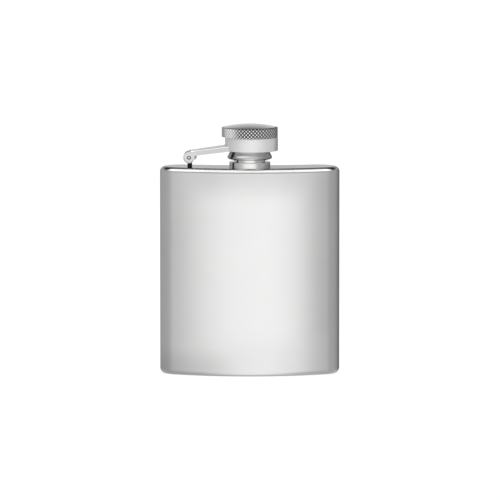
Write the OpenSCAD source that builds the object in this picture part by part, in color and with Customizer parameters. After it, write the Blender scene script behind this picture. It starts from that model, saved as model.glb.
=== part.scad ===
// Hip flask with a captive screw cap, carried on a swing arm that is hinged at one shoulder.
// The origin is on the foot, under the neck. +Z is up, the front faces -Y and the hinge is at -X.
// All lengths are in millimetres, all angles in degrees.

/* [Body] */
// Width across the two rounded ends
body_w = 70; // [60:1:100]
// Thickness at the middle, from the front face to the back face
body_t = 18.5; // [17:0.5:22]
// Height from the foot to the top of the top plate
body_h = 81.2; // [60:0.1:130]
// Radius of the convex front face
front_r = 75.3; // [65:0.1:110]
// Radius of the rounded ends
end_r = 8; // [7:0.1:9]
// Sheet thickness of the sleeve and of both plates
wall = 0.6; // [0.4:0.05:1]
// Radius of the rolled edge round the top plate
top_edge_r = 2.1; // [1.1:0.1:2.3]
// Radius of the rolled edge round the base plate
base_edge_r = 2.2; // [1.1:0.1:2.3]
// Straight skirt of each plate, past its rolled edge
skirt_h = 1.2; // [0.8:0.1:3]

/* [Neck] */
// Radius of the mouth's bore
mouth_r = 4.7; // [4:0.1:5]
// Outer radius of the plain part of the neck
neck_r = 6.05; // [5.9:0.05:6.2]
// Height of the rim above the top plate
rim_h = 9; // [8.6:0.1:9.2]
// Length of the neck below the top plate
neck_tail = 1.2; // [0.8:0.1:3]
// Radius of the boss ring at the foot of the neck
boss_r = 8; // [7:0.05:8.2]
// Height of the boss ring
boss_h = 2.2; // [1.5:0.1:2.6]
// Rounding of the boss ring's top edge
boss_edge_r = 0.35; // [0.1:0.05:0.6]
// Rounding of the rim
rim_r = 0.4; // [0.2:0.05:0.45]

/* [Screw thread] */
// Height of the thread's ridge
thread_h = 0.35; // [0.2:0.05:0.5]
// Rise in one turn
thread_pitch = 1.5; // [1.2:0.1:1.8]
// Number of turns
thread_turns = 2; // [1:0.25:2.25]
// Gap between the neck and the cap's bore, which lets the cap swing off
thread_gap = 0.5; // [0.5:0.05:0.6]

/* [Cap] */
// Height of the lip's underside above the top plate
lip_z = 3.2; // [2.8:0.1:3.8]
// Radius of the lip that keeps the collar on
lip_r = 8.72; // [8.5:0.02:9.2]
// Height of the lip's rounded edge
lip_h = 1.5; // [1:0.1:2.2]
// Height of the cone between the lip and the collar
cone_h = 1.7; // [1:0.1:2.2]
// Outer radius of the threaded socket
socket_r = 7.55; // [7.3:0.05:7.6]
// Thickness of the sealing disc
gasket_t = 1.2; // [0.8:0.1:1.5]
// Gap round the sealing disc
gasket_gap = 0.1; // [0.05:0.05:0.3]
// Depth of the socket's seat in the knob
seat_h = 1.6; // [1:0.1:2.2]
// Radius over the diamonds of the knob
knob_r = 11; // [10:0.1:12]
// Height of the knob's rim, without the dome
knob_h = 3.8; // [2.8:0.1:5]
// Rise of the knob's dome
dome_h = 1.25; // [0.8:0.05:2.5]
// Chamfer at the top and the bottom of the knob's rim
knob_edge = 0.15; // [0.15:0.05:0.8]
// Number of diamonds round the knob
diamonds = 48; // [36:1:72]
// Number of half rows of diamonds
diamond_rows = 5; // [2:1:8]
// Depth of the diamonds
diamond_d = 0.4; // [0.15:0.05:0.5]

/* [Swivel collar] */
// Outer radius of the collar
collar_r = 10.3; // [9.6:0.1:11]
// Inner radius of the collar
collar_bore = 8.35; // [8.35:0.01:8.45]
// Height of the collar
collar_h = 5.2; // [4:0.1:7]
// How far the loose collar is pushed off the neck's axis
collar_shift = 0.67; // [0:0.01:0.7]
// Play above and below the collar
collar_play = 0.1; // [0.1:0.05:0.4]
// Rounding of the collar's edges
collar_edge_r = 0.2; // [0.1:0.05:0.6]

/* [Swing arm] */
// Slope of the closed arm
arm_slope = 7.8; // [6:0.1:10]
// Height of the arm's side walls
arm_h = 2.1; // [1.6:0.1:2.1]
// How far the arm's top stands above its ears
arm_lift = 0.3; // [0.3:0.05:0.9]
// Radius of the shoulder from the ears up to the arm's top
shoulder_r = 1.9; // [1.6:0.1:2]
// Width of the arm at the hinge
arm_w_hinge = 6.6; // [4.6:0.1:6.6]
// Width to which the arm's sides run out at the collar's axis
arm_w_collar = 14; // [8:0.1:16]
// Sheet thickness of the arm
arm_t = 0.55; // [0.4:0.05:0.6]
// Distance from the hinge pin to the end of the arm's top
arm_top_start = 1.2; // [0.5:0.05:1.5]
// Length of the parallel ears past the hinge pin
ear_l = 3.4; // [3:0.1:5]
// Radius of the arm's ears
ear_r = 2.2; // [2.1:0.05:2.4]

/* [Hinge] */
// Distance of the hinge pin from the neck's axis
hinge_x = 23.6; // [20:0.1:25]
// Height of the hinge pin above the top plate
hinge_h = 3.9; // [3:0.1:5]
// Radius of the hinge rivet
rivet_r = 0.65; // [0.5:0.05:0.7]
// Radius of the rivet's heads
rivet_head_r = 0.9; // [0.8:0.05:1.5]
// Height of the rivet's heads
rivet_head_h = 0.2; // [0.15:0.05:0.6]
// Running clearance of the rivet in the post
rivet_gap = 0.05; // [0.02:0.01:0.08]
// Width of the post's stem
stem_w = 1.8; // [1.6:0.1:2.2]
// How far the stem stands towards the neck from the hinge pin
stem_shift = 0.3; // [0:0.1:0.7]
// Radius of the post's round head
head_r = 1.35; // [1.2:0.05:1.4]
// Radius of the stop lobe under the arm
lobe_r = 1.28; // [0.8:0.02:1.3]
// Reach of the stop lobe's centre from the hinge pin
lobe_x = 1.8; // [1.2:0.1:2]
// Gap between the stop lobe and the closed arm
stop_gap = 0.5; // [0.2:0.05:0.5]
// Side clearance between the post and the ears
ear_gap = 0.1; // [0.05:0.05:0.3]

/* [Hidden] */
$fn = 96;
eps = 0.01;
// How far the round ends stand out where the front and the back meet them
blend = 0.02;

// Centres of the four tangent arcs of the body's outline
front_cy = front_r - body_t / 2;
end_x = body_w / 2 - end_r - blend;
end_y = front_cy - sqrt(pow(front_r - end_r, 2) - pow(end_x, 2));
back_g = body_t / 2 - end_y;
back_r = (pow(end_x, 2) + pow(back_g, 2) - pow(end_r, 2)) / (2 * (end_r - back_g));
back_cy = body_t / 2 + back_r;

// Directions in which the end arcs meet the front and the back arcs
front_a = atan2(end_y - front_cy, end_x);
back_a = atan2(end_y - back_cy, end_x);

top_pan_h = top_edge_r + skirt_h;
base_pan_h = base_edge_r + skirt_h;

// Heights up the neck and the cap
top_z = body_h;
rim_z = top_z + rim_h;
lip_bottom = top_z + lip_z;
cone_top = lip_bottom + lip_h + cone_h;
collar_z = cone_top + collar_play;
knob_z = collar_z + collar_h + collar_play;
knob_top = knob_z + knob_h;
seat_top = knob_z + seat_h;
gasket_z = rim_z;
socket_roof = gasket_z + gasket_t;
socket_bore = neck_r + thread_gap;
thread_root = neck_r - thread_h;
thread_z = rim_z - rim_r - thread_pitch * (thread_turns + 0.86);

// Knob
knurl_z0 = knob_z + knob_edge;
knurl_z1 = knob_top - knob_edge;
knurl_root = knob_r - diamond_d;
core_r = knurl_root * cos(90 / diamonds) - 0.02;
dome_r0 = core_r - knob_edge;
dome_R = (pow(dome_r0, 2) + pow(dome_h, 2)) / (2 * dome_h);

// Hinge and arm
pin_z = top_z + hinge_h;
ear_y = arm_w_hinge / 2;
ear_in = ear_y - arm_t;
post_y = ear_in - ear_gap;
arm_hi = ear_r + arm_lift;
arm_lo = arm_hi - arm_h;
arm_run = hinge_x + collar_shift;
shoulder_x = arm_top_start - 0.1;

// The middle of the body, drawn wide of the front and the back.
module middle() {
    m = 2 * body_t;
    fx = (front_r + m) * cos(front_a);
    fy = front_cy + (front_r + m) * sin(front_a);
    bx = end_x - (end_r + m) * cos(back_a);
    by = end_y - (end_r + m) * sin(back_a);
    polygon([[-fx, fy], [fx, fy], [end_x, end_y], [bx, by], [-bx, by], [-end_x, end_y]]);
}

// The body's outline, drawn in by a distance. The round ends stand out by the blend, and the front and
// the back trim them.
module outline(inset) {
    difference() {
        intersection() {
            translate([0, front_cy])
                circle(front_r - inset);
            union() {
                middle();
                for (s = [-1, 1])
                    translate([s * end_x, end_y])
                        circle(end_r - inset + blend);
            }
        }
        translate([0, back_cy])
            circle(back_r + inset);
    }
}

// A disc whose top edge is rounded.
module coin(radius, r, z0, z1) {
    rotate_extrude()
        union() {
            translate([0, z0])
                square([radius, z1 - r - z0]);
            translate([0, z0])
                square([radius - r, z1 - z0]);
            translate([radius - r, z1 - r])
                intersection() {
                    circle(r);
                    square(r);
                }
        }
}

// A disc that flares out at its top edge, to cut a rounded hollow.
module flare(radius, r, z0, z1) {
    rotate_extrude()
        difference() {
            translate([0, z0])
                square([radius + r, z1 - z0 + 1]);
            translate([radius + r, z1 - r])
                circle(r);
            translate([radius, z0 - 1])
                square([2 * r, z1 - r - z0 + 1]);
        }
}

// The body's outline with a rounded top edge, drawn in by a distance.
module pan(inset, r, z0, z1) {
    difference() {
        intersection() {
            translate([0, front_cy, 0])
                coin(front_r - inset, r, z0, z1);
            union() {
                translate([0, 0, z0])
                    linear_extrude(z1 - z0)
                        middle();
                for (s = [-1, 1])
                    translate([s * end_x, end_y, 0])
                        coin(end_r - inset + blend, r, z0, z1);
            }
        }
        translate([0, back_cy, 0])
            flare(back_r + inset, r, z0 - 1, z1);
    }
}

// A drawn plate of one sheet thickness, with a rolled edge and a skirt, flat side up.
module plate(r, h) {
    difference() {
        pan(0, r, 0, h);
        pan(wall, r - wall, -1, h - wall);
    }
}

module body_sleeve() {
    color("silver")
        translate([0, 0, base_pan_h])
            linear_extrude(body_h - top_pan_h - base_pan_h)
                difference() {
                    outline(0);
                    outline(wall);
                }
}

module top_plate() {
    color("silver")
        difference() {
            translate([0, 0, top_z - top_pan_h])
                plate(top_edge_r, top_pan_h);
            translate([0, 0, top_z - wall - 1])
                cylinder(r = neck_r, h = wall + 2);
        }
}

module base_plate() {
    color("silver")
        translate([0, 0, base_pan_h])
            mirror([0, 0, 1])
                plate(base_edge_r, base_pan_h);
}

module neck_boss() {
    color("lightgray")
        translate([0, 0, top_z])
            rotate_extrude()
                translate([neck_r, 0])
                    union() {
                        square([boss_r - neck_r, boss_h - boss_edge_r]);
                        square([boss_r - boss_edge_r - neck_r, boss_h]);
                        translate([boss_r - boss_edge_r - neck_r, boss_h - boss_edge_r])
                            circle(boss_edge_r);
                    }
}

// A ridge that winds up a cylinder of the root radius, tapering out at both ends.
module ridge(root, rise, pitch, turns, z0) {
    step = 15;
    n = round(turns * 360 / step);
    foot = pitch * 0.36;
    crest = pitch * 0.1;
    sink = 0.2;
    function lift(i) = rise * min(1, min(i, n - i) / 4);
    pts = [
        for (i = [0 : n])
            let (a = i * step, z = z0 + pitch * i / n * turns, f = lift(i))
                for (p = [[-sink, -foot], [f, -crest], [f, crest], [-sink, foot]])
                    [(root + p[0]) * cos(a), (root + p[0]) * sin(a), z + p[1]]
    ];
    sides = [
        for (i = [0 : n - 1])
            for (j = [0 : 3])
                let (a = 4 * i + j, b = 4 * i + (j + 1) % 4)
                    for (t = [[a, b, b + 4], [a, b + 4, a + 4]])
                        t
    ];
    caps = [[0, 2, 1], [0, 3, 2], [4 * n, 4 * n + 1, 4 * n + 2], [4 * n, 4 * n + 2, 4 * n + 3]];
    polyhedron(points = pts, faces = concat(sides, caps));
}

module neck_tube() {
    color("lightgray") {
        difference() {
            union() {
                translate([0, 0, top_z - wall - neck_tail])
                    cylinder(r = neck_r, h = thread_z - thread_h - top_z + wall + neck_tail);
                translate([0, 0, thread_z - thread_h])
                    cylinder(r1 = neck_r, r2 = thread_root, h = thread_h);
                translate([0, 0, thread_z])
                    cylinder(r = thread_root, h = rim_z - rim_r - thread_z);
                translate([0, 0, rim_z - rim_r])
                    cylinder(r = thread_root - rim_r, h = rim_r);
                translate([0, 0, rim_z - rim_r])
                    rotate_extrude()
                        translate([thread_root - rim_r, 0])
                            intersection() {
                                circle(rim_r);
                                square(rim_r);
                            }
                ridge(thread_root, thread_h, thread_pitch, thread_turns, thread_z + thread_pitch * 0.5);
            }
            translate([0, 0, top_z - wall - neck_tail - 1])
                cylinder(r = mouth_r, h = rim_h + wall + neck_tail + 2);
        }
    }
}

module hinge_post() {
    color("dimgray")
        translate([-hinge_x, 0, pin_z])
            rotate([90, 0, 0])
                difference() {
                    translate([0, 0, -post_y])
                        linear_extrude(2 * post_y)
                            union() {
                                translate([stem_shift - stem_w / 2, -hinge_h])
                                    square([stem_w, hinge_h]);
                                circle(head_r);
                                rotate(arm_slope)
                                    translate([lobe_x, arm_hi - arm_t - stop_gap - lobe_r])
                                        circle(lobe_r);
                            }
                    translate([0, 0, -post_y - 1])
                        cylinder(r = rivet_r + rivet_gap, h = 2 * post_y + 2);
                }
}

module hinge_rivet() {
    color("lightgray")
        translate([-hinge_x, 0, pin_z])
            rotate([90, 0, 0])
                difference() {
                    union() {
                        translate([0, 0, -ear_y])
                            cylinder(r = rivet_r, h = 2 * ear_y);
                        for (s = [-1, 1])
                            translate([0, 0, s > 0 ? ear_y : -ear_y - rivet_head_h])
                                cylinder(r = rivet_head_r, h = rivet_head_h);
                    }
                    for (s = [0, 1])
                        mirror([0, 0, s])
                            translate([0, 0, ear_y + rivet_head_h - rivet_r * 0.6])
                                cylinder(r1 = 0, r2 = rivet_r, h = rivet_r * 0.6 + eps);
                }
}

// Plan of the arm, drawn in on each side by a distance.
module arm_plan(inset) {
    w0 = ear_y - inset;
    w1 = arm_w_collar / 2 - inset;
    polygon([
        [-2 * ear_r, -w0], [ear_l, -w0], [arm_run, -w1],
        [arm_run, w1], [ear_l, w0], [-2 * ear_r, w0]
    ]);
}

module arm() {
    color("lightgray")
        difference() {
            translate([-hinge_x, 0, pin_z])
                rotate([0, -arm_slope, 0])
                    difference() {
                        intersection() {
                            rotate([90, 0, 0])
                                translate([0, 0, -arm_w_collar])
                                    linear_extrude(2 * arm_w_collar)
                                        union() {
                                            circle(ear_r);
                                            translate([shoulder_x, arm_hi - shoulder_r])
                                                circle(shoulder_r);
                                            translate([shoulder_x, arm_lo])
                                                square([arm_run, arm_h]);
                                        }
                            translate([0, 0, -2 * ear_r])
                                linear_extrude(5 * ear_r)
                                    arm_plan(0);
                        }
                        translate([0, 0, -2 * ear_r])
                            linear_extrude(2 * ear_r + arm_hi - arm_t)
                                arm_plan(arm_t);
                        translate([-2 * ear_r, -ear_in, -2 * ear_r])
                            cube([2 * ear_r + arm_top_start, 2 * ear_in, 5 * ear_r]);
                        rotate([90, 0, 0])
                            translate([0, 0, -arm_w_collar])
                                cylinder(r = rivet_r, h = 2 * arm_w_collar);
                    }
            translate([collar_shift, 0, collar_z - collar_h])
                cylinder(r = collar_r, h = 3 * collar_h);
        }
}

module swivel_collar() {
    color("gainsboro")
        translate([collar_shift, 0, collar_z])
            rotate_extrude()
                translate([collar_bore, 0])
                    union() {
                        translate([0, collar_edge_r])
                            square([collar_r - collar_bore, collar_h - 2 * collar_edge_r]);
                        square([collar_r - collar_bore - collar_edge_r, collar_h]);
                        for (z = [collar_edge_r, collar_h - collar_edge_r])
                            translate([collar_r - collar_bore - collar_edge_r, z])
                                circle(collar_edge_r);
                    }
}

// A ring of raised diamonds: every other point of a fine grid stands out to the full radius.
module diamond_band(root, rise, inner, z0, z1, count, rows) {
    cols = 2 * count;
    outside = [
        for (k = [0 : rows])
            for (i = [0 : cols - 1])
                let (r = root + ((i + k) % 2 == 0 ? rise : 0), a = 360 * i / cols)
                    [r * cos(a), r * sin(a), z0 + (z1 - z0) * k / rows]
    ];
    inside = [
        for (z = [z0, z1])
            for (i = [0 : cols - 1])
                [inner * cos(360 * i / cols), inner * sin(360 * i / cols), z]
    ];
    sides = [
        for (k = [0 : rows - 1])
            for (i = [0 : cols - 1])
                let (j = (i + 1) % cols, a = k * cols + i, b = k * cols + j, c = a + cols, d = b + cols)
                    for (t = (i + k) % 2 == 0 ? [[a, c, b], [b, c, d]] : [[a, d, b], [a, c, d]])
                        t
    ];
    top = rows * cols;
    low = top + cols;
    high = low + cols;
    ends = [
        for (i = [0 : cols - 1])
            let (j = (i + 1) % cols)
                for (f = [[i, j, low + j, low + i], [top + j, top + i, high + i, high + j],
                          [low + i, low + j, high + j, high + i]])
                    f
    ];
    polyhedron(points = concat(outside, inside), faces = concat(sides, ends));
}

// Half section of the plain knob: chamfers above and below the diamonds, and the dome.
module knob_half() {
    polygon([
        [0, knob_z], [dome_r0, knob_z], [core_r, knurl_z0],
        [core_r, knurl_z1], [dome_r0, knob_top], [0, knob_top]
    ]);
    intersection() {
        translate([0, knob_top + dome_h - dome_R])
            circle(dome_R);
        translate([0, knob_top - knob_edge / 2])
            square([dome_r0, dome_h + knob_edge]);
    }
}

module cap_knob() {
    color("silver")
        difference() {
            union() {
                diamond_band(knurl_root, diamond_d, (knurl_root + socket_r) / 2, knurl_z0, knurl_z1,
                             diamonds, diamond_rows);
                rotate_extrude()
                    knob_half();
            }
            translate([0, 0, knob_z - 1])
                cylinder(r = socket_r, h = seat_h + 1);
        }
}

module cap_socket() {
    lip_e = lip_h / 2;
    color("silver")
        difference() {
            rotate_extrude()
                union() {
                    translate([0, lip_bottom])
                        square([lip_r - lip_e, lip_h]);
                    translate([lip_r - lip_e, lip_bottom + lip_e])
                        circle(lip_e);
                    polygon([
                        [0, lip_bottom + lip_e], [lip_r - lip_e * 0.29, lip_bottom + lip_e * 1.71],
                        [socket_r, cone_top], [socket_r, seat_top], [0, seat_top]
                    ]);
                }
            translate([0, 0, lip_bottom - 1])
                cylinder(r = socket_bore, h = socket_roof - lip_bottom + 1);
        }
}

module cap_gasket() {
    color("dimgray")
        translate([0, 0, gasket_z])
            cylinder(r = socket_bore - gasket_gap, h = gasket_t);
}

body_sleeve();
top_plate();
base_plate();
neck_boss();
neck_tube();
hinge_post();
hinge_rivet();
arm();
swivel_collar();
cap_knob();
cap_socket();
cap_gasket();
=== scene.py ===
"""A steel hip flask with a captive screw cap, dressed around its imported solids."""

import math

import bmesh
import bpy
from mathutils import Matrix, Vector


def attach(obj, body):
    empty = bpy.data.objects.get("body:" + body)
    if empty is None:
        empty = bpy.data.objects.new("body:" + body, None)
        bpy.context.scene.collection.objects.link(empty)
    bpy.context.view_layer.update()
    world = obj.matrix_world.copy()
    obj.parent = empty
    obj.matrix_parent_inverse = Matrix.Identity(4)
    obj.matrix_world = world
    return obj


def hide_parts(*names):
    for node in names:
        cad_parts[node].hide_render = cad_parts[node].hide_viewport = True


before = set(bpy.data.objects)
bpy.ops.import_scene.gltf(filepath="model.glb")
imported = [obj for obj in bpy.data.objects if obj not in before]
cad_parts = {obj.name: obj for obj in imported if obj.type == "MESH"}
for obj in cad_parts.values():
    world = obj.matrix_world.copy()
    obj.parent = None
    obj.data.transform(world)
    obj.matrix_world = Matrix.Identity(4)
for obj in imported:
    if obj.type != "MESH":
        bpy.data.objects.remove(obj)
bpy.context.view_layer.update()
scene = bpy.context.scene

# ---------------------------------------------------------------- sizes, in millimetres

MM = 0.001

# Body plan: a full front arc, two round ends and a hollow back
BODY_W, BODY_T, BODY_H = 70.0, 18.5, 81.2
FRONT_R, END_R, WALL = 75.3, 8.0, 0.6
FRONT_CY = FRONT_R - BODY_T / 2
END_X = BODY_W / 2 - END_R
END_Y = FRONT_CY - math.sqrt((FRONT_R - END_R) ** 2 - END_X ** 2)
BACK_G = BODY_T / 2 - END_Y
BACK_R = (END_X ** 2 + BACK_G ** 2 - END_R ** 2) / (2 * (END_R - BACK_G))
BACK_CY = BODY_T / 2 + BACK_R
TOP_ROLL, BASE_ROLL, SKIRT, FLAT_INSET = 2.1, 2.2, 1.2, 0.2
SLEEVE_LOW = BASE_ROLL + SKIRT
SLEEVE_HIGH = BODY_H - TOP_ROLL - SKIRT

# Neck and cap, stacked on the shoulder
MOUTH_R, NECK_R, RIM_Z, NECK_FOOT = 4.7, 6.05, BODY_H + 9, BODY_H - WALL - 1.2
BOSS_R, BOSS_H = 8.0, 2.2
THREAD_ROOT, THREAD_RISE, THREAD_PITCH, THREAD_TURNS = 5.7, 0.35, 1.5, 2
THREAD_FOOT, THREAD_LAND, THREAD_SINK, THREAD_STEPS = 0.54, 0.12, 0.2, 60
RUN_OUT, RUN_OUT_STEEP, RUN_OUT_SINK = 0.04, 10, 0.6
THREAD_Z = RIM_Z - 0.4 - THREAD_PITCH * (THREAD_TURNS + 0.86)
LIP_Z, LIP_R, LIP_H = BODY_H + 3.2, 8.72, 1.5
CAP_THREAD_RISE, CAP_THREAD_Z = -0.33, LIP_Z + 1.4
CONE_TOP = LIP_Z + LIP_H + 1.7
COLLAR_R, COLLAR_BORE, COLLAR_X = 10.3, 8.35, 0.67
COLLAR_LOW, COLLAR_HIGH = CONE_TOP + 0.1, CONE_TOP + 5.3
KNOB_LOW, KNOB_HIGH, KNOB_R, DOME_H = COLLAR_HIGH + 0.1, COLLAR_HIGH + 3.9, 11.0, 1.25
SOCKET_R, SOCKET_BORE, SOCKET_ROOF, SEAT_TOP = 7.55, 6.55, RIM_Z + 1.2, KNOB_LOW + 1.6
KNURL_LOW, KNURL_HIGH, KNURL_ROOT = KNOB_LOW + 0.15, KNOB_HIGH - 0.15, 10.6
DIAMONDS, DIAMOND_ROWS = 48, 5
DOME_R0 = 10.42
GASKET_R, GASKET_RING = 6.4, 5.1

# Hinge and arm
PIN_X, PIN_Z = -23.6, BODY_H + 3.9
EAR_R, EAR_Y, SHEET = 2.2, 3.3, 0.55
POST_Y, STEM_W, STEM_SHIFT, HEAD_R = 2.65, 1.8, 0.3, 1.35
LOBE_R, LOBE_ALONG, STOP_GAP = 1.28, 1.8, 0.5
ARM_SLOPE, ARM_H, ARM_W_END, EAR_L = 7.8, 2.1, 7.0, 3.4
ARM_HIGH, SHOULDER_X, SHOULDER_R = EAR_R + 0.3, 1.1, 1.9
ARM_RUN = -PIN_X + COLLAR_X
ARM_DRAWN, ARM_WIDTH_AT, ARM_SINK = 16.0, 15.6, 0.03
RIVET_R, RIVET_HEAD_R, RIVET_HEAD_H = 0.65, 0.9, 0.2
RIVET_PLAY, RIVET_DIMPLE, RIVET_SHADE_R = 0.05, 0.3, 0.56

# How far the edges are eased
BOSS_EASE, RIM_EASE, MOUTH_EASE, LIP_EASE = 0.35, 0.4, 0.2, 0.25
COLLAR_EASE, BORE_EASE, GASKET_EASE = 0.2, 0.15, 0.12
POST_EASE, RIVET_EASE, DIMPLE_EASE = 0.22, 0.18, 0.08
FOLD_R, SHEET_EASE = 0.48, 0.2

# Modelling: how close counts as the same, the steps of a full turn, the angles of an edge in radians
WELD, ON_ROW, ON_CIRCLE, CLOSE_BY = 1e-4, 1e-3, 2e-3, 0.01
ROUND, PIN_ROUND, RIVET_ROUND = 144, 40, 48
SHARP_ANGLE, CORNER = math.radians(38), 1.2
SIDEWAYS, TO_SIDE = (0, -1, 0), Matrix.Rotation(math.pi / 2, 4, 'X')


# ---------------------------------------------------------------- modelling helpers

def edges_of(made):
    return [g for g in made if isinstance(g, bmesh.types.BMEdge)]


def verts_of(made):
    return [g for g in made if isinstance(g, bmesh.types.BMVert)]


def line_to(bm, vert, point):
    """Draws a straight edge from a vertex to a point and returns its far end."""
    made = bmesh.ops.extrude_vert_indiv(bm, verts=[vert])["verts"][0]
    made.co = point
    return made


def arc(bm, vert, centre, degrees, steps, axis=(0, 0, 1)):
    """Carries a vertex round a centre, leaving edges behind it, and returns the far end."""
    made = bmesh.ops.spin(bm, geom=[vert], cent=centre, axis=axis,
                          angle=math.radians(degrees), steps=steps)
    return verts_of(made["geom_last"])[0]


def section(bm, start, *moves):
    """Draws a lathe section in the XZ plane. A move is a point (r, z), or a turn ((r, z), degrees, steps)."""
    tip = bm.verts.new((start[0], 0, start[1]))
    for move in moves:
        if len(move) == 2:
            tip = line_to(bm, tip, (move[0], 0, move[1]))
        else:
            (r, z), degrees, steps = move
            tip = arc(bm, tip, (r, 0, z), degrees, steps, SIDEWAYS)


def turn(bm, steps=ROUND):
    """Turns the drawn section a full round about Z."""
    bmesh.ops.spin(bm, geom=bm.verts[:] + bm.edges[:], cent=(0, 0, 0), axis=(0, 0, 1),
                   angle=math.tau, steps=steps, use_merge=True)
    bmesh.ops.remove_doubles(bm, verts=bm.verts[:], dist=WELD)


def bevel(bm, edges, radius, segments=5):
    bmesh.ops.bevel(bm, geom=list(edges), offset=radius, offset_type='OFFSET', segments=segments,
                    profile=0.5, affect='EDGES', material=-1, clamp_overlap=True)


def fill(bm, edges, normal):
    """Fills a flat outline, leaving the loops inside it open as holes."""
    made = bmesh.ops.triangle_fill(bm, use_beauty=True, use_dissolve=False, edges=list(edges), normal=normal)
    return [g for g in made["geom"] if isinstance(g, bmesh.types.BMFace)]


def circle(bm, radius, matrix, segments=ROUND):
    """Draws a ring of edges and returns them."""
    made = bmesh.ops.create_circle(bm, cap_ends=False, segments=segments, radius=radius, matrix=matrix)["verts"]
    return list({e for v in made for e in v.link_edges})


def rim(bm, r, z):
    """The edges of a turned piece that lie on one circle."""
    def on(v):
        return abs(math.hypot(v.co.x, v.co.y) - r) < ON_CIRCLE and abs(v.co.z - z) < ON_CIRCLE
    return [e for e in bm.edges if on(e.verts[0]) and on(e.verts[1])]


def corners(bm):
    """The edges where two faces meet at a sharp turn."""
    return [e for e in bm.edges if len(e.link_faces) == 2 and e.calc_face_angle(0) > CORNER]


def outwards(bm):
    bmesh.ops.recalc_face_normals(bm, faces=bm.faces[:])


def shift(bm, x, y, z):
    bmesh.ops.translate(bm, vec=(x, y, z), verts=bm.verts[:])


def piece(bm, name, node, body, material):
    """Makes the finished object from millimetres, and puts it on its body in place of its solid."""
    bmesh.ops.remove_doubles(bm, verts=bm.verts[:], dist=WELD)
    outwards(bm)
    bmesh.ops.scale(bm, vec=(MM, MM, MM), verts=bm.verts[:])
    mesh = bpy.data.meshes.new(name)
    for f in bm.faces:
        f.smooth = True
    bm.to_mesh(mesh)
    bm.free()
    mesh.set_sharp_from_angle(angle=SHARP_ANGLE)
    mesh.materials.append(material)
    obj = bpy.data.objects.new(name, mesh)
    scene.collection.objects.link(obj)
    weighted = obj.modifiers.new("flat_faces_stay_flat", 'WEIGHTED_NORMAL')
    weighted.keep_sharp = True
    weighted.weight = 80
    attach(obj, body)
    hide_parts(node)


# ---------------------------------------------------------------- node helpers

def node(tree, kind, links=None, **settings):
    """Adds a node, sets its properties and its inputs, by index or name, from values or sockets."""
    made = tree.nodes.new(kind)
    for key, value in settings.items():
        setattr(made, key, value)
    for key, value in (links or {}).items():
        if isinstance(value, bpy.types.NodeSocket):
            tree.links.new(value, made.inputs[key])
        else:
            made.inputs[key].default_value = value
    return made


def maths(tree, operation, a, b=0.0):
    return node(tree, 'ShaderNodeMath', {0: a, 1: b}, operation=operation).outputs[0]


def times(tree, a, b):
    return maths(tree, 'MULTIPLY', a, b)


def plus(tree, a, b):
    return maths(tree, 'ADD', a, b)


def vectors(tree, operation, a, b=(0, 0, 0)):
    return node(tree, 'ShaderNodeVectorMath', {0: a, 1: b}, operation=operation)


def apart(tree, value, centre):
    """How far a value is from a centre, either way."""
    return maths(tree, 'ABSOLUTE', maths(tree, 'SUBTRACT', value, centre))


def ranged(tree, value, low, high, to_low=0.0, to_high=1.0, ease='SMOOTHSTEP'):
    return node(tree, 'ShaderNodeMapRange', {0: value, 1: low, 2: high, 3: to_low, 4: to_high},
                interpolation_type=ease).outputs[0]


def split(tree, vector):
    return node(tree, 'ShaderNodeSeparateXYZ', {0: vector}).outputs


def blend(tree, share, a, b):
    """Blends two numbers."""
    return node(tree, 'ShaderNodeMix', {0: share, 2: a, 3: b}).outputs[0]


def tint(tree, share, a, b):
    """Blends two colours. Each is a socket, or three numbers."""
    a, b = (c if isinstance(c, bpy.types.NodeSocket) else (*c, 1) for c in (a, b))
    return node(tree, 'ShaderNodeMix', {0: share, 6: a, 7: b}, data_type='RGBA').outputs[2]


def noise(tree, place, scale, **more):
    """A cloudy noise, 0 to 1."""
    links = {"Vector": place, "Scale": scale}
    links.update({key.capitalize(): value for key, value in more.items()})
    return node(tree, 'ShaderNodeTexNoise', links)


def spot(tree, output="Object"):
    """Where a point lies on its object, or which way the surface faces there."""
    return node(tree, 'ShaderNodeTexCoord').outputs[output]


def feeds(shader, name):
    """The socket that an input of the shader is fed from so far."""
    return shader.inputs[name].links[0].from_socket


def socket_group(name, inputs, outputs):
    """A shader node group with named sockets, and its own input and output nodes."""
    tree = bpy.data.node_groups.new(name, 'ShaderNodeTree')
    for label, kind, value in inputs:
        made = tree.interface.new_socket(label, in_out='INPUT', socket_type=kind)
        if value is not None:
            made.default_value = value
    for label in outputs:
        tree.interface.new_socket(label, in_out='OUTPUT', socket_type='NodeSocketFloat')
    return tree, tree.nodes.new('NodeGroupInput').outputs, tree.nodes.new('NodeGroupOutput').inputs


def new_material(name):
    mat = bpy.data.materials.new(name)
    mat.use_nodes = True
    return mat


def nodes_of(mat):
    """A material's node tree and its shader."""
    return mat.node_tree, mat.node_tree.nodes["Principled BSDF"]


# ---------------------------------------------------------------- finishes

def polish_grain():
    """Fine parallel lines left by the polishing belt, with a slow drift in how strong they are."""
    tree, come, go = socket_group(
        "polish_grain",
        [("Vector", 'NodeSocketVector', None), ("Stretch", 'NodeSocketVector', (9000, 9000, 120)),
         ("Depth", 'NodeSocketFloat', 1.0)],
        ["Lines", "Height"])
    drawn = vectors(tree, 'MULTIPLY', come["Vector"], come["Stretch"]).outputs[0]
    lines = noise(tree, drawn, 1.0, detail=3.0, roughness=0.62).outputs[0]
    drift = noise(tree, come["Vector"], 65.0, detail=2.0).outputs[0]
    weight = ranged(tree, drift, 0.3, 0.7, 0.45, 1.0)
    centred = times(tree, maths(tree, 'SUBTRACT', lines, 0.5), weight)
    tree.links.new(plus(tree, centred, 0.5), go["Lines"])
    tree.links.new(times(tree, centred, come["Depth"]), go["Height"])
    return tree


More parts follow.
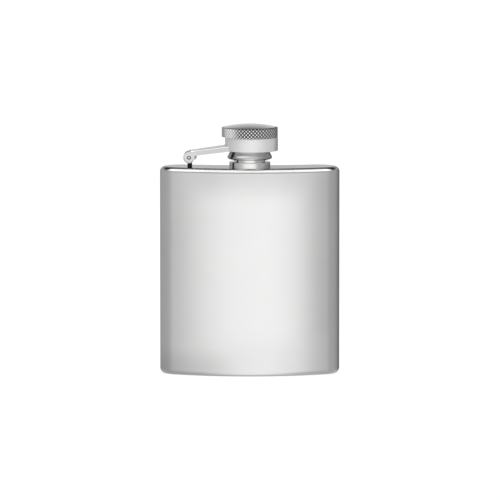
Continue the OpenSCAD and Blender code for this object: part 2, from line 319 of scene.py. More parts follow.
def handling_marks():
    """Soft smears from fingers and a scatter of hairline scratches."""
    tree, come, go = socket_group(
        "handling_marks",
        [("Vector", 'NodeSocketVector', None), ("Smear Scale", 'NodeSocketFloat', 45.0),
         ("Scratch Scale", 'NodeSocketFloat', 160.0)],
        ["Smear", "Scratch"])
    cloud = noise(tree, come["Vector"], come["Smear Scale"], detail=5.0, roughness=0.55, distortion=0.8).outputs[0]
    tree.links.new(ranged(tree, cloud, 0.42, 0.72), go["Smear"])
    bent = noise(tree, come["Vector"], 90.0, detail=1.0).outputs["Color"]
    swayed = node(tree, 'ShaderNodeMix', {0: 0.004, 4: come["Vector"], 5: bent}, data_type='VECTOR').outputs[1]
    found = 0.0
    for turn_z, turn_y in ((0.5, 0.35), (-0.9, -0.6)):
        laid = node(tree, 'ShaderNodeMapping', {"Vector": swayed, "Rotation": (0.2, turn_y, turn_z),
                                                "Scale": (1.0, 1.0, 0.06)}).outputs[0]
        cell = node(tree, 'ShaderNodeTexVoronoi', {"Vector": laid, "Scale": come["Scratch Scale"]},
                    feature='DISTANCE_TO_EDGE').outputs[0]
        found = maths(tree, 'MAXIMUM', found, ranged(tree, cell, 0.0, 0.012, 1.0, 0.0))
    sparse = noise(tree, come["Vector"], 120.0, detail=2.0).outputs[0]
    tree.links.new(times(tree, found, ranged(tree, sparse, 0.55, 0.7)), go["Scratch"])
    return tree


GRAIN, MARKS = polish_grain(), handling_marks()


def steel(name, light, dark, rough, stretch, depth, smear=0.05, band=(), painted_shade=(), metal=1.0):
    """Stainless steel: a metal whose tone, gloss and surface follow the polishing lines and the handling, and whose
    colour carries painted shade where asked.
    """
    mat = new_material(name)
    tree, shader = nodes_of(mat)
    shader.inputs["Metallic"].default_value = metal
    place = spot(tree)
    grain = node(tree, 'ShaderNodeGroup', node_tree=GRAIN)
    marks = node(tree, 'ShaderNodeGroup', node_tree=MARKS)
    tree.links.new(place, grain.inputs["Vector"])
    tree.links.new(place, marks.inputs["Vector"])
    grain.inputs["Stretch"].default_value = stretch
    grain.inputs["Depth"].default_value = depth
    lines, height = grain.outputs
    smears, scratches = marks.outputs
    colour = tint(tree, plus(tree, times(tree, lines, 0.7), times(tree, smears, 0.3)), dark, light)
    gloss = plus(tree, rough - smear * 0.4, times(tree, smears, smear))
    for mark, share in ((lines, 0.05), (scratches, 0.06)):
        gloss = plus(tree, gloss, times(tree, mark, share))
    across, _, up = split(tree, place)
    for low, high, share, full, none, both_sides in painted_shade:
        # painted shade: the colour is darkened towards black, fading over a height and over a width
        reach = maths(tree, 'ABSOLUTE', across) if both_sides else across
        within = ranged(tree, reach, full * MM, none * MM, 1.0, 0.0)
        away = times(tree, ranged(tree, up, low * MM, high * MM, 0.0, share), within)
        colour = tint(tree, away, colour, (0, 0, 0))
    for z in band:
        # a welded and polished joint leaves a band that is a little duller
        gloss = plus(tree, gloss, ranged(tree, apart(tree, up, z * MM), 0.1 * MM, 0.6 * MM, 0.03, 0.0))
    tree.links.new(colour, shader.inputs["Base Color"])
    tree.links.new(gloss, shader.inputs["Roughness"])
    raised = maths(tree, 'SUBTRACT', height, times(tree, scratches, 0.6))
    bump = node(tree, 'ShaderNodeBump', {"Strength": 0.25, "Distance": 0.01 * MM, "Height": raised})
    tree.links.new(bump.outputs[0], shader.inputs["Normal"])
    return mat


def knurled(name, light, groove_shade, rough):
    """Steel with crests worn bright and flat, and dull grooves painted near black as shade, told apart by their
    distance from the axis.
    """
    mat = steel(name, light, [0.9 * c for c in light], rough, (2500, 2500, 2500), 0.8)
    tree, shader = nodes_of(mat)
    place = spot(tree)
    flat = vectors(tree, 'MULTIPLY', place, (1, 1, 0)).outputs[0]
    away = vectors(tree, 'LENGTH', flat).outputs["Value"]
    side, _, up = split(tree, place)
    deep = ranged(tree, away, (KNURL_ROOT + 0.02) * MM, (KNOB_R - 0.1) * MM, 1.0, 0.0)
    in_band = times(tree, ranged(tree, up, (KNURL_LOW - 0.1) * MM, (KNURL_LOW + 0.1) * MM),
                    ranged(tree, up, (KNURL_HIGH + 0.1) * MM, (KNURL_HIGH + 0.4) * MM, 1.0, 0.0))
    in_band = times(tree, in_band, ranged(tree, away, (DOME_R0 - 0.62) * MM, (DOME_R0 - 0.32) * MM))
    # painted light: the grooves' painted shade is weaker on the left side, as if that side were lit more
    painted_shade_by_side = ranged(tree, side, -7.5 * MM, -3.5 * MM, 0.35, 1.0)
    painted_groove_shade = times(tree, times(tree, deep, in_band), painted_shade_by_side)
    tree.links.new(tint(tree, painted_groove_shade, feeds(shader, "Base Color"), groove_shade), shader.inputs["Base Color"])
    tree.links.new(plus(tree, feeds(shader, "Roughness"), times(tree, painted_groove_shade, 0.2)), shader.inputs["Roughness"])
    # a worn crest faces straight out
    worn = times(tree, in_band, ranged(tree, away, (KNOB_R - 0.21) * MM, (KNOB_R - 0.11) * MM))
    out = node(tree, 'ShaderNodeVectorTransform', {0: flat}, vector_type='NORMAL', convert_from='OBJECT',
               convert_to='WORLD').outputs[0]
    out = vectors(tree, 'NORMALIZE', out).outputs[0]
    faces = node(tree, 'ShaderNodeNewGeometry').outputs["Normal"]
    faces = node(tree, 'ShaderNodeMix', {0: worn, 4: faces, 5: out}, data_type='VECTOR').outputs[1]
    tree.links.new(faces, feeds(shader, "Normal").node.inputs["Normal"])
    return mat


def from_pin(tree):
    """A point's way from the hinge pin, and its distance from the pin's axis."""
    way = vectors(tree, 'SUBTRACT', spot(tree), (PIN_X * MM, 0, PIN_Z * MM)).outputs[0]
    flat = vectors(tree, 'MULTIPLY', way, (1, 0, 1)).outputs[0]
    return way, vectors(tree, 'LENGTH', flat).outputs["Value"]


def riveted(name, light, rough):
    """Steel with a dark ring painted as shade round the dimple in the turned-over end of the tubular rivet."""
    mat = steel(name, light, [0.9 * c for c in light], rough, (2500, 2500, 2500), 0.6)
    tree, shader = nodes_of(mat)
    _, away = from_pin(tree)
    # painted shade: a dark ring just inside the rim of the dimple
    painted_ring_shade = ranged(tree, apart(tree, away, RIVET_SHADE_R * MM), 0.1 * MM, 0.2 * MM, 1.0, 0.0)
    tree.links.new(tint(tree, painted_ring_shade, feeds(shader, "Base Color"), (0.05, 0.05, 0.05)), shader.inputs["Base Color"])
    return mat


def blanked(name, light, dark, rough):
    """Pressed sheet, with a painted highlight on its upward-facing bends and web and on the far ear's inner face, and
    painted shade low on the rims of its round ears.
    """
    mat = steel(name, light, dark, rough, (180, 5000, 5000), 0.8, smear=0.06)
    tree, shader = nodes_of(mat)
    way, away = from_pin(tree)
    along, depth, up = split(tree, way)
    # painted shade: the rim of each round ear is darkened on its lower part
    edge = ranged(tree, away, (EAR_R - 0.65) * MM, (EAR_R - 0.1) * MM, 0.0, 0.55)
    edge = times(tree, edge, ranged(tree, up, -0.4 * MM, 0.9 * MM, 1.0, 0.0))
    edge = times(tree, edge, ranged(tree, along, 1.2 * MM, 2.2 * MM, 1.0, 0.0))
    # painted highlight: faces turned upwards, among them the bends and the web, and the far ear's inner face are
    # painted brighter
    _, faces_back, faces_up = split(tree, spot(tree, "Normal"))
    painted_inner_light = times(tree, ranged(tree, depth, (EAR_Y - 1) * MM, (EAR_Y - 0.7) * MM),
                  ranged(tree, faces_back, -0.8, -0.5, 1.0, 0.0))
    bright = times(tree, maths(tree, 'MAXIMUM', painted_inner_light, ranged(tree, faces_up, 0.1, 0.4)), 0.8)
    colour = tint(tree, bright, feeds(shader, "Base Color"), (0.98, 0.98, 0.975))
    tree.links.new(tint(tree, edge, colour, (0.08, 0.08, 0.08)), shader.inputs["Base Color"])
    return mat


def rubber(name):
    """Pale food-grade silicone, a little mottled, with a ring pressed into it by the neck."""
    mat = new_material(name)
    tree, shader = nodes_of(mat)
    shader.inputs["IOR"].default_value = 1.42
    place = spot(tree)
    cloud = noise(tree, place, 400.0, detail=4.0).outputs[0]
    flat = vectors(tree, 'MULTIPLY', place, (1, 1, 0)).outputs[0]
    away = vectors(tree, 'LENGTH', flat).outputs["Value"]
    ring = ranged(tree, apart(tree, away, GASKET_RING * MM), 0.2 * MM, 0.6 * MM, 1.0, 0.0)
    tone = plus(tree, times(tree, cloud, 0.6), times(tree, ring, 0.4))
    tree.links.new(tint(tree, tone, (0.78, 0.77, 0.74), (0.60, 0.59, 0.56)), shader.inputs["Base Color"])
    tree.links.new(ranged(tree, cloud, 0.2, 0.8, 0.45, 0.62), shader.inputs["Roughness"])
    raised = maths(tree, 'SUBTRACT', times(tree, cloud, 0.2), ring)
    bump = node(tree, 'ShaderNodeBump', {"Strength": 0.4, "Distance": 0.08 * MM, "Height": raised})
    tree.links.new(bump.outputs[0], shader.inputs["Normal"])
    return mat


# Painted shade, darkening the colour: from height, to height, how much, full at width, none at width, on both sides
# the body: painted shade in a band below the shoulder, on the top flat, and towards the bottom, more on the left
BODY_PAINTED_SHADE = ((66, 79, 0.19, 14, 28, True), (BODY_H - 0.6, BODY_H - 0.1, 0.26, 60, 80, True),
            (20, 6, 0.06, 14, 28, True), (13, 3, 0.16, -18, 2, False))
# painted shade: the collar's right-hand side is darkened over its height
COLLAR_PAINTED_SHADE = ((COLLAR_LOW - 2, COLLAR_LOW - 1, 0.4, COLLAR_X + COLLAR_R, COLLAR_X + COLLAR_R - 2.2, False),)
# painted shade: the post's stem below its head is darkened almost to black
POST_PAINTED_SHADE = ((PIN_Z - 0.9, PIN_Z - 1.7, 0.96, 60, 80, True),)

BODY_STEEL = steel("satin_polished_body", (0.83, 0.83, 0.825), (0.76, 0.76, 0.758), 0.16,
                   (9000, 9000, 150), 1.0, smear=0.04, band=(SLEEVE_LOW, SLEEVE_HIGH), painted_shade=BODY_PAINTED_SHADE)
MIRROR_STEEL = steel("mirror_polished_turning", (0.84, 0.84, 0.835), (0.78, 0.78, 0.776), 0.1,
                     (300, 300, 9000), 0.6, smear=0.03)
SOCKET_STEEL = steel("bright_turned_socket", (0.62, 0.62, 0.616), (0.56, 0.56, 0.555), 0.17,
                     (300, 300, 9000), 0.6, smear=0.04)
COLLAR_STEEL = steel("fine_turned_collar", (0.85, 0.85, 0.845), (0.80, 0.80, 0.796), 0.55,
                     (260, 260, 9000), 1.0, painted_shade=COLLAR_PAINTED_SHADE, metal=0.65)
ARM_STEEL = blanked("pressed_sheet", (0.69, 0.69, 0.686), (0.60, 0.60, 0.597), 0.2)
POST_STEEL = steel("post_with_painted_shade", (0.36, 0.36, 0.358), (0.26, 0.26, 0.258), 0.2,
                   (5000, 5000, 400), 0.8, smear=0.08, painted_shade=POST_PAINTED_SHADE)
# the near-black groove colour is painted shade
KNOB_STEEL = knurled("knurled_knob", (1.00, 1.00, 0.995), (0.05, 0.05, 0.05), 0.14)
RIVET_STEEL = riveted("rivet_with_painted_shade_ring", (0.72, 0.72, 0.716), 0.2)
SEAL_RUBBER = rubber("silicone_seal")


# ---------------------------------------------------------------- body

def kidney(bm, inset, z):
    """The body's plan outline drawn in by a distance: half of it spun arc by arc, then mirrored."""
    before = set(bm.verts)
    front_turn = 90 + math.degrees(math.atan2(END_Y - FRONT_CY, END_X))
    back_turn = 90 + math.degrees(math.atan2(END_Y - BACK_CY, END_X))
    tip = bm.verts.new((0, FRONT_CY - FRONT_R + inset, z))
    tip = arc(bm, tip, (0, FRONT_CY, z), front_turn, 56)
    tip = arc(bm, tip, (END_X, END_Y, z), 180 + back_turn - front_turn, 44)
    arc(bm, tip, (0, BACK_CY, z), -back_turn, 36)
    half = [v for v in bm.verts if v not in before]
    edges = [e for e in bm.edges if e.verts[0] in half]
    bmesh.ops.mirror(bm, geom=half + edges, matrix=Matrix(), merge_dist=WELD, axis='X')
    return [e for e in bm.edges if e.verts[0] not in before and e.verts[1] not in before]


def sleeve():
    bm = bmesh.new()
    loops = kidney(bm, 0, SLEEVE_LOW) + kidney(bm, WALL, SLEEVE_LOW)
    end = bmesh.ops.bridge_loops(bm, edges=loops)["faces"]
    raised = bmesh.ops.extrude_face_region(bm, geom=end, use_keep_orig=True)["geom"]
    bmesh.ops.translate(bm, vec=(0, 0, SLEEVE_HIGH - SLEEVE_LOW), verts=verts_of(raised))
    return bm


def rolled_plate(height, roll, hole=None):
    """A drawn plate: a skirt, a rolled edge and a flat, with the neck's hole where there is one."""
    bm = bmesh.new()
    grown = bmesh.ops.extrude_edge_only(bm, edges=kidney(bm, 0, 0))["geom"]
    bmesh.ops.translate(bm, vec=(0, 0, height), verts=verts_of(grown))
    crest = edges_of(grown)
    bmesh.ops.contextual_create(bm, geom=crest)
    outwards(bm)
    bevel(bm, crest, roll, 14)
    flat = max(bm.faces, key=lambda f: len(f.verts))
    bmesh.ops.inset_region(bm, faces=[flat], thickness=FLAT_INSET, use_even_offset=True)
    flat = max(bm.faces, key=lambda f: len(f.verts))
    if hole:
        ring = list(flat.edges)
        bmesh.ops.delete(bm, geom=[flat], context='FACES_ONLY')
        fill(bm, ring + circle(bm, hole, Matrix.Translation((0, 0, height))), (0, 0, 1))
    outwards(bm)
    bmesh.ops.solidify(bm, geom=bm.faces[:], thickness=WALL)
    return bm


def shoulder():
    bm = rolled_plate(TOP_ROLL + SKIRT, TOP_ROLL, NECK_R)
    shift(bm, 0, 0, SLEEVE_HIGH)
    return bm


def base():
    bm = rolled_plate(BASE_ROLL + SKIRT, BASE_ROLL)
    bmesh.ops.scale(bm, vec=(1, 1, -1), verts=bm.verts[:])
    shift(bm, 0, 0, SLEEVE_LOW)
    return bm


# ---------------------------------------------------------------- neck and cap

def boss():
    bm = bmesh.new()
    section(bm, (NECK_R, BODY_H), (BOSS_R, BODY_H), (BOSS_R, BODY_H + BOSS_H), (NECK_R, BODY_H + BOSS_H),
            (NECK_R, BODY_H))
    turn(bm)
    bevel(bm, rim(bm, BOSS_R, BODY_H + BOSS_H), BOSS_EASE)
    return bm


def thread(bm, wall_r, rise, z):
    """Lays a screw thread on a round wall, inwards where the rise is negative. Both its ends run out into the wall."""
    steps, length = THREAD_STEPS * THREAD_TURNS, THREAD_PITCH * THREAD_TURNS
    sunk = math.copysign(THREAD_SINK, -rise)
    before = set(bm.verts)
    start = [bm.verts.new((wall_r + out, 0, z + up)) for out, up in
             ((sunk, -THREAD_FOOT), (rise, -THREAD_LAND), (rise, THREAD_LAND), (sunk, THREAD_FOOT))]
    bmesh.ops.spin(bm, geom=[bm.faces.new(start)], cent=(0, 0, 0), axis=(0, 0, 1), dvec=(0, 0, length / steps),
                   angle=math.tau * THREAD_TURNS, steps=steps, use_duplicate=False)
    for v in bm.verts:
        r = math.hypot(v.co.x, v.co.y)
        if v not in before and abs(r - wall_r - rise) < 0.1:
            climb = (v.co.z - z) / length
            fade = min(1.0, max(0.0, (RUN_OUT + min(climb, 1 - climb)) * RUN_OUT_STEEP))
            wanted = wall_r + rise * fade + RUN_OUT_SINK * sunk * (1 - fade)
            v.co.x *= wanted / r
            v.co.y *= wanted / r


def spout():
    """The neck: a tube with a rounded rim, and a screw thread laid round it in two turns."""
    bm = bmesh.new()
    section(bm, (MOUTH_R, NECK_FOOT), (NECK_R, NECK_FOOT), (NECK_R, THREAD_Z - THREAD_RISE), (THREAD_ROOT, THREAD_Z),
            (THREAD_ROOT, RIM_Z), (MOUTH_R, RIM_Z), (MOUTH_R, NECK_FOOT))
    turn(bm)
    bevel(bm, rim(bm, THREAD_ROOT, RIM_Z), RIM_EASE)
    bevel(bm, rim(bm, MOUTH_R, RIM_Z), MOUTH_EASE)
    thread(bm, THREAD_ROOT, THREAD_RISE, THREAD_Z + THREAD_PITCH * 0.5)
    return bm


def socket():
    bm = bmesh.new()
    edge = LIP_H / 2
    section(bm, (0, SOCKET_ROOF), (SOCKET_BORE, SOCKET_ROOF), (SOCKET_BORE, LIP_Z), (LIP_R - edge, LIP_Z),
            ((LIP_R - edge, LIP_Z + edge), 135, 12), (SOCKET_R, CONE_TOP), (SOCKET_R, SEAT_TOP), (0, SEAT_TOP))
    turn(bm)
    bevel(bm, rim(bm, SOCKET_BORE, LIP_Z), LIP_EASE)
    thread(bm, SOCKET_BORE, CAP_THREAD_RISE, CAP_THREAD_Z)
    return bm


def collar():
    bm = bmesh.new()
    section(bm, (COLLAR_BORE, COLLAR_LOW), (COLLAR_R, COLLAR_LOW), (COLLAR_R, COLLAR_HIGH),
            (COLLAR_BORE, COLLAR_HIGH), (COLLAR_BORE, COLLAR_LOW))
    turn(bm)
    for z in (COLLAR_LOW, COLLAR_HIGH):
        bevel(bm, rim(bm, COLLAR_R, z), COLLAR_EASE)
        bevel(bm, rim(bm, COLLAR_BORE, z), BORE_EASE, 3)
    shift(bm, COLLAR_X, 0, 0)
    return bm


def knob():
    """The knob is turned with plain rows, and every other point of the rows is then drawn out to a diamond."""
    bm = bmesh.new()
    dome_r = (DOME_R0 ** 2 + DOME_H ** 2) / (2 * DOME_H)
    sweep = math.degrees(math.asin(DOME_R0 / dome_r))
    lift = (KNURL_HIGH - KNURL_LOW) / DIAMOND_ROWS
    rows = [KNURL_LOW + lift * k for k in range(DIAMOND_ROWS + 1)]
    section(bm, (0, SEAT_TOP), (SOCKET_R, SEAT_TOP), (SOCKET_R, KNOB_LOW), (DOME_R0, KNOB_LOW),
            *((KNURL_ROOT, z) for z in rows), (DOME_R0, KNOB_HIGH), ((0, KNOB_HIGH + DOME_H - dome_r), sweep, 24))
    turn(bm, 2 * DIAMONDS)
    for k, z in enumerate(rows):
        for v in bm.verts:
            if abs(v.co.z - z) < ON_ROW and abs(math.hypot(v.co.x, v.co.y) - KNURL_ROOT) < ON_ROW:
                column = round(math.atan2(v.co.y, v.co.x) / math.tau * 2 * DIAMONDS)
                if (column + k) % 2 == 0:
                    v.co.x *= KNOB_R / KNURL_ROOT
                    v.co.y *= KNOB_R / KNURL_ROOT
    band = [f for f in bm.faces if max(math.hypot(v.co.x, v.co.y) for v in f.verts) > KNOB_R - 0.05]
    bmesh.ops.triangulate(bm, faces=band, quad_method='SHORT_EDGE')
    return bm


def gasket():
    bm = bmesh.new()
    section(bm, (0, RIM_Z), (GASKET_R, RIM_Z), (GASKET_R, SOCKET_ROOF), (0, SOCKET_ROOF))
    turn(bm)
    for z in (RIM_Z, SOCKET_ROOF):
        bevel(bm, rim(bm, GASKET_R, z), GASKET_EASE, 3)
    return bm


# ---------------------------------------------------------------- hinge and arm

def to_pin(bm, slope=0.0):
    """Takes a shape drawn about the origin in the XZ plane to the hinge pin."""
    leaned = Matrix.Rotation(math.radians(-slope), 4, 'Y')
    bmesh.ops.transform(bm, matrix=Matrix.Translation((PIN_X, 0, PIN_Z)) @ leaned, verts=bm.verts[:])


def meet(a, ra, b, rb):
    """The point where two circles meet, on the left of the line between them."""
    d = (b - a).length
    along = (d * d + ra * ra - rb * rb) / (2 * d)
    across = math.sqrt(ra * ra - along * along)
    u = (b - a) / d
    return a + u * along + Vector((-u.y, u.x)) * across


def heading(p, c):
    return math.degrees(math.atan2(p.y - c.y, p.x - c.x))


def clear_of_pin(edge):
    """Whether an edge, drawn about the origin, lies outside the pin's hole."""
    return min(math.hypot(v.co.x, v.co.z) for v in edge.verts) > RIVET_R + 2 * RIVET_PLAY


def post():
    """The upright: a stem with a round head and the small stop beside it, cut from bar and eased at its edges."""
    bm = bmesh.new()
    slope = math.radians(ARM_SLOPE)
    lobe_up = ARM_HIGH - SHEET - STOP_GAP - LOBE_R
    lobe = Vector((LOBE_ALONG * math.cos(slope) - lobe_up * math.sin(slope),
                   LOBE_ALONG * math.sin(slope) + lobe_up * math.cos(slope)))
    near, far = STEM_SHIFT - STEM_W / 2, STEM_SHIFT + STEM_W / 2
    foot = -(PIN_Z - BODY_H)

    head = Vector((0.0, 0.0))
    left = Vector((near, -math.sqrt(HEAD_R ** 2 - near ** 2)))
    joint = meet(head, HEAD_R, lobe, LOBE_R)
    right = Vector((far, lobe.y - math.sqrt(LOBE_R ** 2 - (far - lobe.x) ** 2)))
    first = bm.verts.new((far, -POST_Y, foot))
    tip = line_to(bm, first, (right.x, -POST_Y, right.y))
    over_lobe = (heading(joint, lobe) - heading(right, lobe)) % 360
    tip = arc(bm, tip, (lobe.x, -POST_Y, lobe.y), over_lobe, 20, SIDEWAYS)
    over_head = (heading(left, head) - heading(joint, head)) % 360
    tip = arc(bm, tip, (0, -POST_Y, 0), over_head, 24, SIDEWAYS)
    tip = line_to(bm, tip, (near, -POST_Y, foot))
    bm.edges.new((tip, first))
    circle(bm, RIVET_R + RIVET_PLAY, Matrix.Translation((0, -POST_Y, 0)) @ TO_SIDE, PIN_ROUND)
    back = bmesh.ops.extrude_face_region(bm, geom=fill(bm, bm.edges[:], SIDEWAYS), use_keep_orig=True)["geom"]
    bmesh.ops.translate(bm, vec=(0, 2 * POST_Y, 0), verts=verts_of(back))
    outwards(bm)
    cut = [e for e in corners(bm) if min(v.co.z for v in e.verts) > foot + CLOSE_BY and clear_of_pin(e)]
    bevel(bm, cut, POST_EASE, 3)
    to_pin(bm)
    return bm


def rivet():
    """A tubular pin, its ends turned over into low round heads with a dimple."""
    bm = bmesh.new()
    far = EAR_Y + RIVET_HEAD_H
    section(bm, (0, -far + RIVET_DIMPLE), (RIVET_R, -far), (RIVET_HEAD_R, -far), (RIVET_HEAD_R, -EAR_Y),
            (RIVET_R, -EAR_Y), (RIVET_R, EAR_Y), (RIVET_HEAD_R, EAR_Y), (RIVET_HEAD_R, far), (RIVET_R, far),
            (0, far - RIVET_DIMPLE))
    turn(bm, RIVET_ROUND)
    for z in (-far, far):
        bevel(bm, rim(bm, RIVET_HEAD_R, z), RIVET_EASE, 4)
        bevel(bm, rim(bm, RIVET_R, z), DIMPLE_EASE, 3)
    bmesh.ops.transform(bm, matrix=TO_SIDE, verts=bm.verts[:])
    to_pin(bm)
    return bm


def arm():
    """One strip of sheet, folded to a U: two cheeks with round ears, and a web that widens towards the collar."""
    bm = bmesh.new()
    low = ARM_HIGH - ARM_H
    pin, bend = Vector((0.0, 0.0)), Vector((SHOULDER_X, ARM_HIGH - SHOULDER_R))
    crook = meet(pin, EAR_R, bend, SHOULDER_R)
    chin = Vector((math.sqrt(EAR_R ** 2 - low ** 2), low))

    def at_end(v):
        return v.co.x > ARM_DRAWN - CLOSE_BY

    def half_width(s):
        share = max(0.0, s - EAR_L) / (ARM_RUN - EAR_L)
        return EAR_Y + (ARM_W_END - EAR_Y) * share

    def collar_end(y, n):
        """How far along the slope the strip meets the collar's wall at this width and height."""
        slope = math.radians(ARM_SLOPE)
        x = COLLAR_X - math.sqrt((COLLAR_R - ARM_SINK) ** 2 - y * y)
        return (x - PIN_X + n * math.sin(slope)) / math.cos(slope)

    # the near cheek, drawn flat: along the top from the collar, round the ear and back along the bottom
    tip = first = bm.verts.new((ARM_DRAWN, 0, ARM_HIGH))
    for s in (EAR_L, SHOULDER_X):
        tip = line_to(bm, tip, (s, 0, ARM_HIGH))
    tip = arc(bm, tip, (bend.x, 0, bend.y), heading(crook, bend) - 90, 12, SIDEWAYS)
    tip = arc(bm, tip, (0, 0, 0), 360 + heading(chin, pin) - heading(crook, pin), 36, SIDEWAYS)
    for s in (EAR_L, ARM_DRAWN):
        tip = line_to(bm, tip, (s, 0, low))
    bm.edges.new((tip, first))
    circle(bm, RIVET_R, TO_SIDE, PIN_ROUND)
    fill(bm, bm.edges[:], SIDEWAYS)
    top = [e for e in bm.edges if all(abs(v.co.z - ARM_HIGH) < WELD and v.co.x > SHOULDER_X - WELD for v in e.verts)]
    # the web grows from the cheek's top edge to the middle of the strip
    web = bmesh.ops.extrude_edge_only(bm, edges=top)["geom"]
    middle = set(verts_of(web))
    for v in bm.verts:
        v.co.y = 0.0 if v in middle else -half_width(ARM_WIDTH_AT if at_end(v) else v.co.x)
    across = [e for e in bm.edges if (e.verts[0] in middle) != (e.verts[1] in middle)]
    bmesh.ops.subdivide_edges(bm, edges=across, cuts=5)
    bmesh.ops.mirror(bm, geom=bm.verts[:] + bm.edges[:] + bm.faces[:], matrix=Matrix(), merge_dist=WELD, axis='Y')
    # the collar end follows the collar's round wall
    for v in bm.verts:
        if at_end(v):
            v.co.x = collar_end(v.co.y, v.co.z)
    outwards(bm)
    bevel(bm, corners(bm), FOLD_R, 6)
    outwards(bm)
    bmesh.ops.solidify(bm, geom=bm.faces[:], thickness=SHEET)
    # the cut edges of the sheet are tumbled smooth, but for those that lie on the collar
    cut = [e for e in corners(bm) if max(v.co.x for v in e.verts) < ARM_DRAWN - 2 and clear_of_pin(e)]
    bevel(bm, cut, SHEET_EASE, 3)
    to_pin(bm, ARM_SLOPE)
    return bm


piece(sleeve(), "polished_body_sleeve", "body_sleeve", "flask", BODY_STEEL)
piece(shoulder(), "rolled_shoulder_plate", "top_plate", "flask", BODY_STEEL)
piece(base(), "rolled_base_plate", "base_plate", "flask", BODY_STEEL)
piece(boss(), "polished_neck_boss", "neck_boss", "flask", MIRROR_STEEL)
piece(spout(), "threaded_spout", "neck_tube", "flask", MIRROR_STEEL)
piece(post(), "hinge_upright", "hinge_post", "flask", POST_STEEL)
piece(rivet(), "turned_over_rivet", "hinge_rivet", "swing_arm", RIVET_STEEL)
piece(arm(), "folded_cap_arm", "arm", "swing_arm", ARM_STEEL)
piece(collar(), "turned_swivel_collar", "swivel_collar", "swing_arm", COLLAR_STEEL)
piece(knob(), "knurled_cap_knob", "cap_knob", "cap", KNOB_STEEL)
piece(socket(), "threaded_cap_socket", "cap_socket", "cap", SOCKET_STEEL)
piece(gasket(), "sealing_disc", "cap_gasket", "cap", SEAL_RUBBER)


# ---------------------------------------------------------------- floor, light and camera

FLOOR_HALF, FLOOR_GLOW = 15.0, 0.78
SUN_ENERGY, SUN_SPREAD = 1.5, 70
LENS, SENSOR, CLIP = 406.7, 36.0, (0.05, 60.0)
CAMERA_RISE, CAMERA_AWAY, CAMERA_TARGET = 6.4, 2.2, (0.0001, 0, 0.0487)

# Brightness of the tent round the object, by the angle from the front, in degrees
TENT_RING = ((-180, 0.66), (-157, 0.36), (-135, 0.40), (-110, 0.42), (-80, 0.45), (-63, 0.50), (-52, 0.57),
             (-42, 0.70), (-30, 0.90), (-15, 1.06), (0, 1.11), (15, 1.11), (30, 0.95), (40, 0.67), (50, 0.51),
             (67, 0.44), (90, 0.41), (112, 0.34), (135, 0.22), (152, 0.16), (166, 0.32), (180, 0.66))
RING_TOP = 2.0
WALL_LIGHT, GAP_LIGHT, SOFTBOX_LIGHT, TABLE_LIGHT, UNDER_LIGHT = 0.42, 0.012, 1.5, 0.5, 0.9
BROW_FRONT, BROW_BACK = 32.0, 82.0


def floor():
    bm = bmesh.new()
    bmesh.ops.create_grid(bm, x_segments=2, y_segments=2, size=FLOOR_HALF)
    mesh = bpy.data.meshes.new("pale_floor")
    bm.to_mesh(mesh)
    bm.free()
    mat = new_material("pale_sweep")
    tree, shader = nodes_of(mat)
    shader.inputs["Specular IOR Level"].default_value = 0.1
    shader.inputs["Roughness"].default_value = 0.8
    shader.inputs["Emission Color"].default_value = (1, 1, 1, 1)
    shader.inputs["Emission Strength"].default_value = FLOOR_GLOW
    cloud = noise(tree, spot(tree), 3.0).outputs[0]
    tree.links.new(tint(tree, cloud, (0.24, 0.24, 0.24), (0.26, 0.26, 0.26)), shader.inputs["Base Color"])
    mesh.materials.append(mat)
    obj = bpy.data.objects.new("pale_floor", mesh)
    scene.collection.objects.link(obj)
    obj.visible_glossy = False


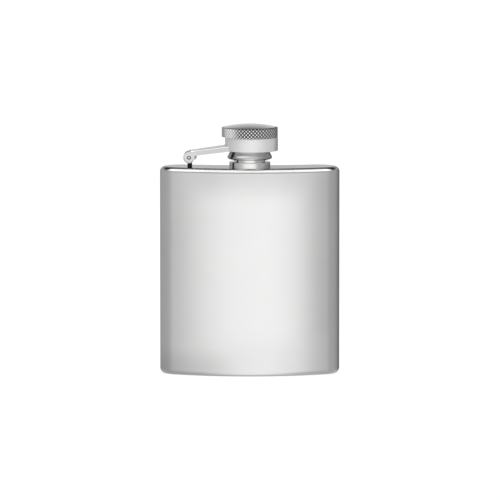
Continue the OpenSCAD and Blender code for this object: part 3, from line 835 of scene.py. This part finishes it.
def studio():
    """A soft tent round the object: bright in front and above, dim at the sides, with a dark gap high at the back."""
    world = bpy.data.worlds.new("soft_tent")
    scene.world = world
    world.use_nodes = True
    tree = world.node_tree
    tree.nodes.clear()
    x, y, z = split(tree, spot(tree, "Generated"))
    around = times(tree, maths(tree, 'ARCTAN2', x, times(tree, y, -1.0)), 180 / math.pi)
    height = times(tree, maths(tree, 'ARCSINE', z), 180 / math.pi)
    off_front = maths(tree, 'ABSOLUTE', around)

    # a ramp's colours end at 1, so the ring is kept as a share of its top
    ring = tree.nodes.new('ShaderNodeValToRGB')
    ring.color_ramp.interpolation = 'CARDINAL'
    tree.links.new(ranged(tree, around, -180, 180, ease='LINEAR'), ring.inputs[0])
    ramp = ring.color_ramp.elements
    while len(ramp) < len(TENT_RING):
        ramp.new(0.5)
    for stop, (angle, value) in zip(ramp, TENT_RING):
        stop.position = (angle + 180) / 360
        stop.color = (value / RING_TOP, value / RING_TOP, value / RING_TOP, 1)
    light = times(tree, node(tree, 'ShaderNodeSeparateColor', {0: ring.outputs[0]}).outputs[0], RING_TOP)

    # the tent's wall is even above the ring
    behind = ranged(tree, off_front, 80, 120)
    light = blend(tree, ranged(tree, height, 10, 20), light, WALL_LIGHT)
    # behind there is a dark gap, and straight behind the wall is lit again over it
    gap = times(tree, behind, ranged(tree, height, 20, 38))
    lit = times(tree, ranged(tree, height, 44, 60), ranged(tree, off_front, 135, 160))
    gap = times(tree, gap, maths(tree, 'SUBTRACT', 1.0, lit))
    light = blend(tree, gap, light, GAP_LIGHT)
    # the softbox overhead leans to the front
    brow = blend(tree, behind, BROW_FRONT, BROW_BACK)
    over = ranged(tree, maths(tree, 'SUBTRACT', height, brow), 0, 8)
    light = blend(tree, over, light, SOFTBOX_LIGHT)
    # the table carries the ring's tones, is even behind the object, and bright close under it
    below = times(tree, behind, ranged(tree, height, -30, -8, 1.0, 0.0))
    light = blend(tree, below, light, TABLE_LIGHT)
    light = blend(tree, ranged(tree, height, -88, -62, 1.0, 0.0), light, UNDER_LIGHT)

    # the camera sees plain white
    seen = node(tree, 'ShaderNodeLightPath').outputs["Is Camera Ray"]
    light = blend(tree, seen, light, 1.0)
    glow = node(tree, 'ShaderNodeBackground', {"Color": (1, 1, 1, 1), "Strength": light}).outputs[0]
    tree.links.new(glow, tree.nodes.new('ShaderNodeOutputWorld').inputs[0])

    lamp = bpy.data.lights.new("floor_softbox", 'SUN')
    lamp.energy, lamp.angle = SUN_ENERGY, math.radians(SUN_SPREAD)
    obj = bpy.data.objects.new("floor_softbox", lamp)
    obj.location = (0, -0.4, 3.0)
    obj.visible_glossy = False
    scene.collection.objects.link(obj)


def camera():
    data = bpy.data.cameras.new("long_lens")
    data.sensor_width, data.lens = SENSOR, LENS
    data.clip_start, data.clip_end = CLIP
    obj = bpy.data.objects.new("long_lens", data)
    rise = math.radians(CAMERA_RISE)
    away = Vector((0, -math.cos(rise), math.sin(rise)))
    obj.location = Vector(CAMERA_TARGET) + CAMERA_AWAY * away
    obj.rotation_euler = away.to_track_quat('Z', 'Y').to_euler()
    scene.collection.objects.link(obj)
    scene.camera = obj


floor()
studio()
camera()
scene.view_settings.view_transform = 'Standard'
scene.view_settings.look = 'None'
